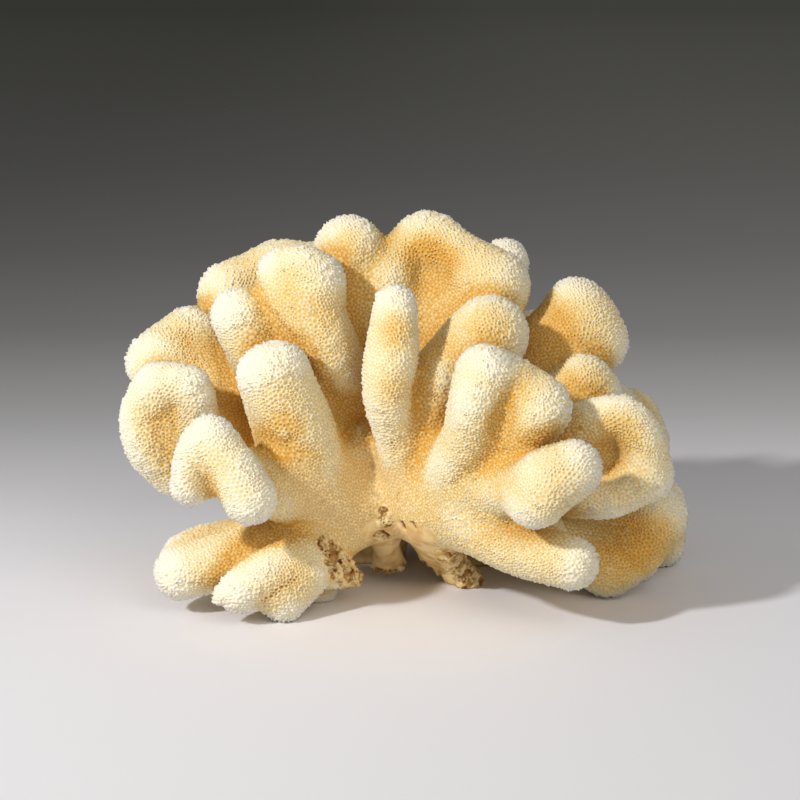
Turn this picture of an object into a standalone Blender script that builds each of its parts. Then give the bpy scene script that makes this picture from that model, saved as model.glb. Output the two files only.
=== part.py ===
"""A cat's paw coral skeleton, about 200 mm wide, split into its holdfast and its paws at the main forks.

Each paw is a set of fingers. A finger is a chain of balls, (x, y, z, radius) in millimetres, from its root
to its tip, and the skin follows a smooth curve from ball to ball. Fingers of one paw melt into each other
with a wide fillet, neighbouring paws with a narrow one, and the colony is cut off flat on the ground, z = 0.
+Z is up, the front faces -Y, and the origin is on the ground under the middle of the colony.
"""

import bpy
import numpy as np
import openvdb

MM = 0.001
GRID_STEP = 2.0
GRID_MARGIN = 8.0
FAR = 10.0
MIDDLE = (3.2, 5.5, 0.0)
PAW_FILLET = 7.0
FORK_FILLET = 5.0
FORK_GAP = 0.8
BALLS_PER_LINK = 3
STEEPEST_TAPER = 0.9
LUMP_HEIGHT = 0.5
LUMP_LENGTHS = (7.3, 6.1, 8.4)
TRIANGLES = 9200
FEWEST_TRIANGLES = 150
GROUND_REACH = 0.6
CORAL_COLOUR = (0.86, 0.72, 0.46, 1.0)
HOLDFAST_COLOUR = (0.72, 0.58, 0.36, 1.0)
CORAL_ROUGHNESS = 0.85

HOLDFAST = "holdfast"
PAWS = {
    HOLDFAST: [
        [(-6, 4, 36, 12), (12, 8, 42, 16), (22, 2, 42, 14)],
        [(-16, 8, 34, 11), (0, 18, 44, 18), (14, 26, 44, 16)],
        [(-22, -6, 47.4, 9), (-12, -9, 37.2, 8), (-6, -9, 30.4, 5)],
        [(-20, -4, 36, 9), (-12, -1, 26, 4.5)],
        [(-24, -5, 34, 9), (-18, -4, 24, 4.5)],
        [(-5, -7, 35, 7), (-7, 2, 23, 3.5), (-9, 14, 6, 3)],
        [(-4, -6, 35, 7), (-7, 2, 21, 3), (-2.5, 14, 7, 2.5)],
        [(2, -7, 36, 7), (4.5, -6, 27, 4.5), (8, 6, 14, 3)],
        [(5, -8, 35, 9), (8, -7, 25, 5), (11.5, 8, 11.5, 3)],
        [(9, -7, 33, 9), (11, -4, 23, 5), (15, 10, 9, 3)],
        [(10, -10, 27, 5), (14.5, -8, 18, 3.5), (20, 2, 8.5, 3), (24.5, 9, 0, 4)],
        [(10, 9, 28, 9), (16, 13, 12, 5), (19, 14, 0, 5)],
        [(2, 30, 30, 12), (-6, 40, 12, 8), (-8, 42, 0, 8)],
        [(-10, 32, 30, 12), (-19, 40, 12, 6), (-20, 40, 0, 6)],
        [(14, 28, 30, 12), (26, 38, 12, 8), (28, 40, 0, 8)],
    ],
    "holdfast_rubble": [
        [(-24, -10, 28, 7), (-27, -20, 22, 5), (-26, -19, 13, 4.5)],
        [(-25, -18, 15, 4.5), (-21.5, -18, 12.5, 3.5), (-17, -17, 10.5, 2.5)],
    ],
    "left_stem": [
        [(-25, -6, 31, 14), (-34, -17, 49.4, 13), (-40.2, -25, 68.9, 11.5), (-47.2, -31, 85.2, 9)],
        [(-25, -6, 31, 14), (-33, -17, 49.4, 13), (-38.2, -25, 68.9, 11), (-41.2, -29, 86.2, 8.5)],
        [(-33, -11, 26, 13), (-31.5, -8, 3, 7)],
        [(-37.3, -22, 55.2, 8), (-41.2, -31, 55.2, 3)],
    ],
    "lower_left_lobe": [
        [(-40, -10, 22, 12), (-62, -20, 18, 10), (-77, -26, 15, 9)],
        [(-48, -4, 20, 9), (-70, -10, 20, 7), (-77, -14, 18, 6.5)],
    ],
    "front_toes": [
        [(-36, -24, 20, 9), (-48, -34, 16, 8), (-56, -39, 12, 7)],
        [(-35, -26, 14, 8), (-42, -32, 7.5, 7.5)],
    ],
    "left_paw": [
        [(-42, -24, 44, 11), (-54, -38, 52, 9), (-65, -42, 55, 7)],
        [(-51, -52, 48, 8.5), (-57, -52, 59, 7.5), (-64, -50, 67, 6.5)],
        [(-64, -50, 67, 6.5), (-70, -50, 61, 6), (-72, -48, 51, 6)],
    ],
    "left_low_fan": [
        [(-48, 0, 50, 13), (-72, -4, 54, 11), (-84, -10, 60, 8)],
        [(-80, -13, 48, 9), (-89, -19, 58, 7), (-90.5, -21, 71, 6.5), (-84, -22, 79, 6.5)],
        [(-84, -22, 79, 6.5), (-74, -24, 79, 7.5), (-71, -21, 67, 7.5), (-70, -14, 56, 8)],
        [(-66, -6, 56, 12), (-78, -13, 63, 10), (-82, -16, 70, 9)],
    ],
    "left_high_fan": [
        [(-42, 8, 54, 14), (-70, 5, 75, 11.5), (-86, 2, 83, 9.5)],
        [(-50, 14, 66, 13), (-70, 12, 86, 10.5), (-76, 12, 90, 9)],
        [(-86, 2, 83, 9.5), (-83, 6, 88, 7.5), (-76, 12, 90, 9)],
        [(-56, 18, 60, 12), (-76, 22, 76, 10), (-81, 22, 80, 9)],
    ],
    "inner_left_finger": [
        [(-32, -2, 56, 14), (-47.4, -7, 82, 11), (-57.2, -11, 101.6, 9)],
        [(-30, 2, 60, 12), (-39, -3, 82, 8), (-50, -7, 101, 7)],
    ],
    "upper_left_paw": [
        [(-14, 10, 62, 11), (-21, -2, 76, 7.5), (-27, -8, 88, 10), (-38, -10, 106, 10), (-41, -8, 115, 8)],
        [(-14, 10, 66, 11), (-20, 0, 78, 7.5), (-29, -9, 95, 8.5), (-31, -10, 113, 8.5)],
        [(-41, -8, 115, 8), (-35, -10, 117, 7), (-31, -10, 113, 8.5)],
        [(-14, 2, 50, 10), (-15, -10, 57.4, 6)],
    ],
    "upper_left_back_fan": [
        [(-22, 24, 66, 14), (-52, 25, 96, 12), (-62, 24, 103, 10.5)],
        [(-22, 26, 72, 13), (-44, 30, 102, 12), (-46, 30, 109, 11)],
        [(-62, 24, 103, 10.5), (-46, 30, 109, 11), (-33, 30, 111, 10)],
    ],
    "crown_knob": [
        [(-6, 8, 56, 13), (-14, 8, 90, 11), (-20, 10, 109, 11), (-20, 10, 121, 12)],
    ],
    "crown_fan": [
        [(8, 8, 56, 14), (8, 16, 97, 11.5), (8, 18, 118, 10)],
        [(16, 8, 64, 14), (27, 8, 97, 12.5), (30, 8, 108, 12)],
        [(-2, 8, 64, 12), (-5, 9, 98, 10), (-7, 8, 111, 8)],
        [(-7, 8, 111, 8), (0, 12, 121, 7.5), (7, 15, 124, 10), (16, 11, 121, 8.5), (30, 8, 109, 11)],
        [(8, 12, 84, 11), (9, 17, 108, 9.5)],
        [(12, 8, 60, 13), (20, 12, 96, 11), (23, 11, 110, 9.5)],
    ],
    "crown_back_knob": [
        [(24, 32, 74, 12), (30, 38, 94, 10), (36, 41, 112, 8.5)],
    ],
    "centre_finger": [
        [(4, -6, 38, 12), (-3, -21, 61.4, 7.5), (-6, -28, 78, 8), (-5, -29, 90.6, 8.9), (-3.7, -27, 107.6, 6.9)],
    ],
    "centre_lobe": [
        [(12, -2, 52, 13), (20, -10, 76, 12), (28, -15, 95.5, 11.5)],
        [(6, -6, 50, 10), (8, -18, 70, 8), (11, -20, 82, 8)],
        [(6, -8, 46, 11), (4, -16, 60, 9.5)],
        [(12, -14, 84, 8), (20, -14, 93, 9), (28, -15, 95.5, 11.5)],
    ],
    "right_high_lobe": [
        [(34, 12, 54, 14), (54, 14, 84, 13), (60, 16, 100, 10.5)],
        [(54, 14, 84, 13), (68, 12, 88, 10)],
        [(54, 14, 84, 13), (64, 14, 94, 10)],
    ],
    "right_mid_lobe": [
        [(38, -2, 52, 12), (54, -5, 69, 10), (61, -6, 78, 9)],
        [(54, -5, 69, 10), (66, -6, 72, 8.5)],
    ],
    "right_front_paw": [
        [(12, -13, 40, 13), (21, -38, 64, 9.5), (23, -46, 80, 8.5), (26, -45, 88, 8)],
        [(24, -22, 46, 12), (39, -41, 67, 9), (43.5, -45, 77, 8.8)],
        [(26, -45, 88, 8), (36, -43, 86, 7), (43.5, -45, 77, 8.8)],
        [(24, -22, 46, 12), (32, -31, 70, 8)],
        [(12, -13, 40, 13), (24, -24, 42, 13), (34, -34, 44, 10)],
        [(12, -10, 42, 11), (6, -13, 43.5, 8.5)],
    ],
    "right_thumb": [
        [(28, -30, 48, 11), (42, -54, 52, 9), (46, -60, 55, 9)],
        [(42, -60, 49, 8.5), (46, -60, 56, 9), (54, -61, 60, 9)],
    ],
    "right_fan": [
        [(40, -8, 48, 13), (66, -17, 56, 8.5)],
        [(50, -22, 60, 9), (62, -31, 69, 7.5), (72, -33, 71, 7), (79, -33, 63, 7.5), (81, -32, 51, 7.5)],
        [(81, -32, 51, 7.5), (70, -32, 44, 7.5), (58, -26, 44, 9)],
        [(56, -17, 54, 10), (71, -22, 57, 8)],
        [(54, -14, 58, 11), (68, -20, 60, 8.5)],
    ],
    "right_low_fan": [
        [(38, 0, 34, 14), (70, 4, 27, 10.5), (88, -4, 30, 9)],
        [(50, 0, 24, 12), (71, -5, 12, 9.5)],
        [(88, -4, 29, 9), (82, -5, 17, 9), (71, -5, 12, 9.5)],
    ],
    "long_finger": [
        [(10, -10, 36, 14), (25, -28, 33, 11), (42, -43, 27, 9), (55, -49, 25, 8.3)],
        [(25, -24, 36, 10), (46, -34, 30, 8)],
    ],
    "back_right_lobe": [
        [(48, 34, 42, 14), (74, 50, 50, 12), (84, 58, 50, 11.5)],
        [(60, 40, 42, 12), (88, 52, 42, 10.5)],
        [(52, 38, 48, 12), (76, 48, 56, 9)],
    ],
    "back_right_foot": [
        [(38, 16, 34, 14), (70, 27, 27, 12), (94, 34, 24, 9), (95, 34, 8, 8)],
        [(62, 22, 22, 12), (84, 17, 6, 7)],
        [(72, 26, 24, 12), (88, 26, 14, 8)],
    ],
    "back_crown_paw": [
        [(4, 34, 56, 14), (0, 46, 88, 12), (-4, 50, 100, 10.5)],
        [(8, 36, 60, 13), (16, 50, 88, 11), (19, 54, 100, 10)],
        [(-4, 50, 100, 10.5), (8, 50, 97, 8), (19, 54, 100, 10)],
        [(6, 38, 66, 13), (8, 49, 90, 11)],
    ],
    "back_left_high_paw": [
        [(-20, 32, 52, 14), (-46, 48, 80, 12), (-55, 53, 87, 10)],
        [(-24, 34, 56, 12), (-32, 56, 84, 11), (-34, 60, 92, 9.5)],
        [(-55, 53, 87, 10), (-45, 54, 87, 8), (-34, 60, 92, 9.5)],
        [(-22, 34, 58, 13), (-42, 52, 80, 11)],
    ],
    "back_left_mid_paw": [
        [(-26, 22, 42, 14), (-66, 34, 50, 12), (-80, 38, 56, 10)],
        [(-44, 28, 42, 12), (-70, 46, 42, 11), (-74, 54, 40, 9.5)],
        [(-80, 38, 56, 10), (-76, 44, 48, 8.5), (-74, 54, 40, 9.5)],
        [(-50, 26, 54, 12), (-72, 34, 68, 10), (-78, 34, 74, 8.5)],
    ],
    "back_left_foot": [
        [(-16, 26, 32, 13), (-34, 44, 18, 11), (-42, 54, 9, 10)],
        [(-26, 36, 22, 10), (-22, 58, 10, 9.5)],
        [(-42, 54, 9, 10), (-32, 54, 12, 8), (-22, 58, 10, 9.5)],
    ],
    "back_middle_paw": [
        [(-2, 36, 48, 14), (-12, 60, 62, 12), (-16, 68, 72, 10)],
        [(2, 40, 48, 12), (8, 64, 54, 11), (11, 70, 62, 9.5)],
        [(-16, 68, 72, 10), (-4, 66, 66, 8), (11, 70, 62, 9.5)],
        [(-2, 44, 50, 13), (-3, 62, 60, 11)],
    ],
    "back_left_low_paw": [
        [(-18, 34, 42, 13), (-40, 60, 44, 11), (-44, 66, 52, 10)],
        [(-20, 36, 38, 12), (-46, 62, 32, 10), (-52, 64, 28, 9)],
        [(-44, 66, 52, 10), (-46, 64, 40, 8.5), (-52, 64, 28, 9)],
    ],
    "back_low_paw": [
        [(4, 34, 32, 14), (-6, 62, 28, 12), (-10, 70, 33, 10)],
        [(8, 38, 30, 12), (16, 64, 18, 11), (18, 68, 9, 9.5)],
        [(-10, 70, 33, 10), (6, 68, 24, 8), (18, 68, 9, 9.5)],
        [(6, 38, 30, 12), (4, 64, 24, 11)],
    ],
    "back_right_high_paw": [
        [(24, 30, 52, 14), (42, 48, 72, 12), (48, 53, 80, 10.5)],
        [(30, 34, 50, 12), (58, 58, 64, 11), (64, 60, 68, 9.5)],
        [(48, 53, 80, 10.5), (54, 56, 74, 9), (64, 60, 68, 9.5)],
        [(30, 34, 52, 13), (50, 54, 66, 11)],
    ],
    "back_right_low_paw": [
        [(30, 28, 38, 14), (42, 58, 42, 12), (44, 70, 48, 10)],
        [(36, 34, 32, 12), (58, 58, 22, 11), (64, 62, 10, 10)],
        [(44, 70, 48, 10), (54, 66, 32, 9), (64, 62, 10, 10)],
        [(34, 36, 36, 13), (50, 60, 32, 11)],
    ],
}


def clear_scene():
    for existing in list(bpy.data.objects):
        bpy.data.objects.remove(existing)


def reach(fingers, margin):
    """The lowest and the highest corner of a box that clears these fingers by the margin."""
    balls = np.array([ball for finger in fingers for ball in finger])
    centres, radii = balls[:, :3], balls[:, 3:]
    return (centres - radii).min(axis=0) - margin, (centres + radii).max(axis=0) + margin


def grid_axes():
    """The X, Y and Z values of the grid that holds the whole colony, in millimetres."""
    low, high = reach([finger for paw in PAWS.values() for finger in paw], GRID_MARGIN)
    low[2] = -GRID_MARGIN
    return [np.arange(start, stop, GRID_STEP, dtype=np.float32) for start, stop in zip(low, high)]


def points_of(axes):
    return np.stack(np.meshgrid(*axes, indexing="ij"), axis=-1)


def smooth_union(first, second, fillet):
    """The lesser of two distances, with the crease between them filled over the fillet's width."""
    share = np.clip(0.5 + 0.5 * (second - first) / fillet, 0.0, 1.0)
    return second + (first - second) * share - fillet * share * (1.0 - share)


def rounded(finger):
    """The finger's balls with more between them, on a smooth curve through its own."""
    balls = np.array(finger, np.float32)
    links = np.diff(balls, axis=0)
    spans = np.sqrt(np.linalg.norm(links[:, :3], axis=1))[:, None]
    speeds = links / spans
    inner = (speeds[:-1] * spans[1:] + speeds[1:] * spans[:-1]) / (spans[:-1] + spans[1:])
    speeds = np.concatenate([speeds[:1], inner, speeds[-1:]])
    share = np.arange(BALLS_PER_LINK, dtype=np.float32)[:, None, None] / BALLS_PER_LINK
    eased = share * share * (3.0 - 2.0 * share)
    curve = balls[:-1] + eased * links
    curve = curve + share * (1.0 - share) ** 2 * spans * speeds[:-1]
    curve = curve - share * share * (1.0 - share) * spans * speeds[1:]
    return np.concatenate([curve.transpose(1, 0, 2).reshape(-1, 4), balls[-1:]])


def link_distance(points, start, end):
    """Distance to the hull of two balls, negative inside."""
    along = (end - start)[:3]
    length = np.linalg.norm(along)
    widening = (end[3] - start[3]) / length
    taper = np.clip(widening, -STEEPEST_TAPER, STEEPEST_TAPER)
    offset = points - start[:3]
    height = offset @ (along / length)
    aside = np.sqrt(np.maximum(np.einsum("...i,...i", offset, offset) - height * height, 0.0))
    spot = np.clip(height + aside * taper / np.sqrt(1.0 - taper * taper), 0.0, length)
    return np.hypot(aside, height - spot) - (start[3] + widening * spot)


def finger_distance(points, finger):
    """Distance to a chain of balls, negative inside."""
    balls = rounded(finger)
    nearest = link_distance(points, balls[0], balls[1])
    for start, end in zip(balls[1:], balls[2:]):
        nearest = np.minimum(nearest, link_distance(points, start, end))
    return nearest


def paw_distance(points, fingers):
    distance = finger_distance(points, fingers[0])
    for finger in fingers[1:]:
        distance = smooth_union(distance, finger_distance(points, finger), PAW_FILLET)
    return distance


def paw_field(axes, fingers):
    """A paw's distance at the grid points near it, and FAR at the rest."""
    low, high = reach(fingers, FAR)
    window = tuple(slice(*np.searchsorted(axis, ends)) for axis, *ends in zip(axes, low, high))
    field = np.full([len(axis) for axis in axes], FAR, np.float32)
    near = points_of([axis[part] for axis, part in zip(axes, window)])
    field[window] = np.minimum(paw_distance(near, fingers), FAR)
    return field


def lumps(points):
    """Low swellings all over the colony, as unevenly grown stony coral has."""
    waves = [np.sin(points[..., axis] / length + axis) for axis, length in enumerate(LUMP_LENGTHS)]
    return LUMP_HEIGHT * waves[0] * waves[1] * waves[2]


def colony_field(axes, distances):
    """All paws melted together and cut off flat on the ground."""
    colony = distances[0]
    for distance in distances[1:]:
        colony = smooth_union(colony, distance, FORK_FILLET)
    points = points_of(axes)
    return np.maximum(colony - lumps(points), -points[..., 2])


def mesh_of_field(name, field, axes):
    """The closed surface on which the field is zero, as a mesh in metres."""
    grid = openvdb.FloatGrid(background=GRID_MARGIN)
    grid.copyFromArray(np.ascontiguousarray(field, dtype=np.float32))
    corners, quads = grid.convertToQuads(isovalue=0.0)
    mesh = bpy.data.meshes.new(name)
    low = np.array([axis[0] for axis in axes]) - MIDDLE
    mesh.from_pydata((corners * GRID_STEP + low) * MM, [], quads.tolist())
    mesh.validate()
    return mesh


def settle_on_ground(mesh):
    """Puts the corners of the ground cut back on the ground after the faceting."""
    for vertex in mesh.vertices:
        if vertex.co.z < GROUND_REACH * MM:
            vertex.co.z = 0.0


def make_material(name, colour):
    material = bpy.data.materials.new(name)
    material.use_nodes = True
    shader = material.node_tree.nodes["Principled BSDF"]
    shader.inputs["Base Color"].default_value = colour
    shader.inputs["Roughness"].default_value = CORAL_ROUGHNESS
    return material


def build():
    clear_scene()
    coral = make_material("coral", CORAL_COLOUR)
    broken = make_material("broken_coral", HOLDFAST_COLOUR)
    collection = bpy.data.collections.new("cats_paw_coral")
    bpy.context.scene.collection.children.link(collection)

    axes = grid_axes()
    distances = np.stack([paw_field(axes, fingers) for fingers in PAWS.values()])
    colony = colony_field(axes, distances)
    two_nearest = np.partition(distances, 1, axis=0)[:2]
    pieces = []
    for name, distance in zip(PAWS, distances):
        rival = np.where(distance <= two_nearest[0], two_nearest[1], two_nearest[0])
        own_share = np.maximum(colony, distance - rival + FORK_GAP)
        piece = bpy.data.objects.new(name, mesh_of_field(name, own_share, axes))
        piece.data.materials.append(broken if name == HOLDFAST else coral)
        collection.objects.link(piece)
        pieces.append(piece)

    share = TRIANGLES / sum(2 * len(piece.data.polygons) for piece in pieces)
    for piece in pieces:
        facets = piece.modifiers.new("facets", "DECIMATE")
        facets.ratio = max(share, FEWEST_TRIANGLES / (2 * len(piece.data.polygons)))
    bpy.context.view_layer.update()
    graph = bpy.context.evaluated_depsgraph_get()
    for piece in pieces:
        faceted = bpy.data.meshes.new_from_object(piece.evaluated_get(graph))
        piece.modifiers.clear()
        piece.data = faceted
        settle_on_ground(faceted)
    return pieces


build()
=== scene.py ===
"""How the cat's paw coral skeleton looks: the lobes of the solids with a skin of small spiny cups.

The skin is one closed net of cups over the same fingers as the solids. Its cups are spread evenly, about
1.4 mm apart, each a pit in the middle and a raised rim with a tooth on the side of the finger's tip. The
net is then parted between the nodes, cup by cup. Lengths are in millimetres until the meshes are made.
"""
import math

import bpy
import numpy as np
import openvdb
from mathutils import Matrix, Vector

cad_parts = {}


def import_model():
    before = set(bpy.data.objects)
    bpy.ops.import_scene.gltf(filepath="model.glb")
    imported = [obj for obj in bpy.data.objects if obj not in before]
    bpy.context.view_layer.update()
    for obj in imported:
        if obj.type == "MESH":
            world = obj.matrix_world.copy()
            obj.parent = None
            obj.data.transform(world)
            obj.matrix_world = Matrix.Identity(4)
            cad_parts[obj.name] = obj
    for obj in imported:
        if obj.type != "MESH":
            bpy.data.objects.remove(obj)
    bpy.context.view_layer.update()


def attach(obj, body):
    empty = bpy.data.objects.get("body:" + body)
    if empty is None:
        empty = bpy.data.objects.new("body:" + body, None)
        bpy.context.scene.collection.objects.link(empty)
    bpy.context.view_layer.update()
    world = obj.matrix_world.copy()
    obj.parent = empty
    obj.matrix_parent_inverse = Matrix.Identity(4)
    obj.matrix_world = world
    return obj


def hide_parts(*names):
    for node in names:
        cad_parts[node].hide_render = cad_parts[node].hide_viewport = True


MM = 0.001
SEED = 7

# the grid that the fingers are read into, and the point of it that becomes the origin
GRID_STEP = 1.45
GRID_MARGIN = 8.0
FAR = 10.0
SLOPE_STEP = 0.8
MIDDLE = np.array((3.2, 5.5, 0.0))

# how fingers, paws and warts melt together, and the low lumps on them
PAW_FILLET = 7.0
FORK_FILLET = 5.0
WART_FILLET = 2.0
BALLS_PER_LINK = 3
STEEPEST_TAPER = 0.9
LUMP_HEIGHT = 0.5
LUMP_LENGTHS = (7.3, 6.1, 8.4)

# the skin's triangles at most, and how many more a cup takes for a round mouth
MOST_TRIANGLES = 985000
MOUTH_TRIANGLES = 12

# how the net of cups is evened out
RELAX_TURNS = 12
FIRST_TURNS, FIRST_FLIPS = 3, 3
GROUND_HEIGHT = 0.01
SCATTER = 0.45
RELAXING = 0.6
FLATTEST_SLOPE = 0.3
LEAST_GAIN, SHARPEST_FOLD = 1e-3, 0.3
FEWEST_EDGES, MOST_EDGES = 4, 9

# what the skin's looks are read from: how it bulges, how open it lies and how far out it has grown; how
# open it lies also paints shade, more golden where something stands in front of the skin
SHARP_SPREAD, BROAD_SPREAD = 4.0, 7.0
TIP_BULGE = (0.07, 0.22)
TONE_BULGE = (-0.08, 0.17)
OPEN_REACHES = (3.0, 6.0, 9.0)
PAINTED_SHADE_OPEN_RANGE = (0.5, 1.0)
CORE = (4.0, 10.0, 32.0)
GROWN_RANGE = (16.0, 62.0)
FUR_FADE, FUR_SHARE = 5.0, 0.8
# the tone: paler on bulges and tips for the growing edges, and painted shade by how open the skin lies
BULGE_TONE, TIP_TONE, PAINTED_SHADE_BY_OPENNESS = 0.5, 0.2, 0.3
# how soft the balls' edges are, and how far they paint light (paler) and shade (more golden) into the tone
TONE_FADE, PAINTED_LIGHT_SHIFT, PAINTED_SHADE_GOLDEN_SHIFT = 4.0, 0.2, 0.35

# heights and depths of the skin: each pair is a height and what a grown place adds
RIM_HEIGHT = 0.04
TOOTH_HEIGHTS = (0.24, 0.26)
TIP_TOOTH = 0.24
SECOND_HEIGHTS = (0.16, 0.06)
TOOTH_LEAN, TIP_LEAN = 0.34, 0.16
PIT_DEPTHS = (0.12, 0.26)
PALE_PIT = 0.6
MOUTH_WIDTH, MOUTH_DEPTH = 0.5, 0.12
MOUTH_BARE, MOUTH_GROWN = 2.0, 0.2
WAY_SCATTER, TOOTH_SCATTER, PIT_SCATTER = 0.2, 0.3, 0.15
LEAST_TOOTH, MOST_TOOTH = 0.4, 1.8
BARE_FADE, BROKEN_FADE, CRUMB_FADE = 1.5, 1.0, 1.2
SEAM_WIDTH, SEAM_HEIGHT, SEAM_DEPTH = 1.3, 0.25, 0.4
HOLE_FADE, HOLE_DEPTH = 0.6, 1.6
SPECK_FADE = 0.5
GRIT_HEIGHT = 0.2
CRUMB_SIZES = ((2.6, 0.6), (4.3, 0.8), (7.3, 0.9))

# how strongly each kind of corner shows the pit's colour, painted shade, and the tooth's pale colour,
# partly painted highlight
MOUTH_PIT_SHADE = 0.35
SECOND_TOOTH_HIGHLIGHT = 0.3
CORNER_SEAM_SHADE, MOUTH_SEAM_SHADE = 0.3, 0.7

# colours by tone, from the golden hollows to the pale tips; the tone also carries painted shade and painted
# light, so its golden end also paints the shade of hidden and shaded places
RIM_COLOURS = [
    (0.0, (0.69, 0.36, 0.05)),
    (0.25, (0.77, 0.50, 0.14)),
    (0.5, (0.84, 0.65, 0.30)),
    (0.75, (0.87, 0.76, 0.49)),
    (1.0, (0.91, 0.84, 0.67)),
]
# painted shade in the cup pits: darker and more golden than the rims
PIT_PAINTED_SHADE_COLOURS = [
    (0.0, (0.60, 0.27, 0.02)),
    (0.25, (0.70, 0.41, 0.08)),
    (0.5, (0.77, 0.56, 0.20)),
    (0.75, (0.82, 0.66, 0.34)),
    (1.0, (0.87, 0.77, 0.52)),
]
# the teeth: paler than the rims, partly their own pale new growth and partly painted highlight on their lit
# tips
TOOTH_PALE_AND_HIGHLIGHT_COLOURS = [
    (0.0, (0.80, 0.56, 0.21)),
    (0.25, (0.89, 0.75, 0.43)),
    (0.5, (0.94, 0.87, 0.66)),
    (0.75, (0.95, 0.91, 0.80)),
    (1.0, (0.95, 0.92, 0.84)),
]
# the stems' colours near the base: golden tan, darkened and made more golden as painted shade on the shaded
# stems; the pits' painted shade and the teeth's pale colour and painted highlight as above
STEM_TAN_AND_SHADE, STEM_PIT_SHADE, STEM_TOOTH_PALE_AND_HIGHLIGHT = (0.78, 0.55, 0.23), (0.68, 0.42, 0.13), (0.87, 0.68, 0.36)
BARE_COLOURS = [(0.35, (0.68, 0.41, 0.13)), (0.6, (0.92, 0.70, 0.35))]
CRUMB_COLOURS = [(0.36, (0.30, 0.14, 0.03)), (0.44, (0.66, 0.43, 0.15)), (0.58, (0.90, 0.72, 0.38))]
# painted shade in the dents of the broken parts: the low places of the grit are darker
DENT_PAINTED_SHADE = [(0.0, (0.60, 0.45, 0.30)), (0.35, (1.0, 1.0, 1.0))]
# painted shade in the grooves and inside the holes, and the skeleton's own dark red specks
SEAM_PAINTED_SHADE, HOLE_PAINTED_SHADE, SPECK_COLOUR = (0.55, 0.26, 0.04), (0.30, 0.13, 0.03), (0.13, 0.025, 0.02)
TOOTH_HIGHLIGHT_SHOWS, PIT_SHADE_SHOWS = (0.1, 0.75), (0.4, 0.95)
STEM_TOOTH_HIGHLIGHT_SHOWS, STEM_PIT_SHADE_SHOWS = (0.2, 0.8), (0.2, 0.8)
STEM_ENDS = (0.15, 0.6)
COVER_STARTS = 0.3
BARE_GRAIN, CRUMB_GRAIN, FINE_GRAIN = 160.0, 430.0, 1400.0
FINE_STRENGTH, FINE_HEIGHT = 0.25, 0.0003

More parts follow.
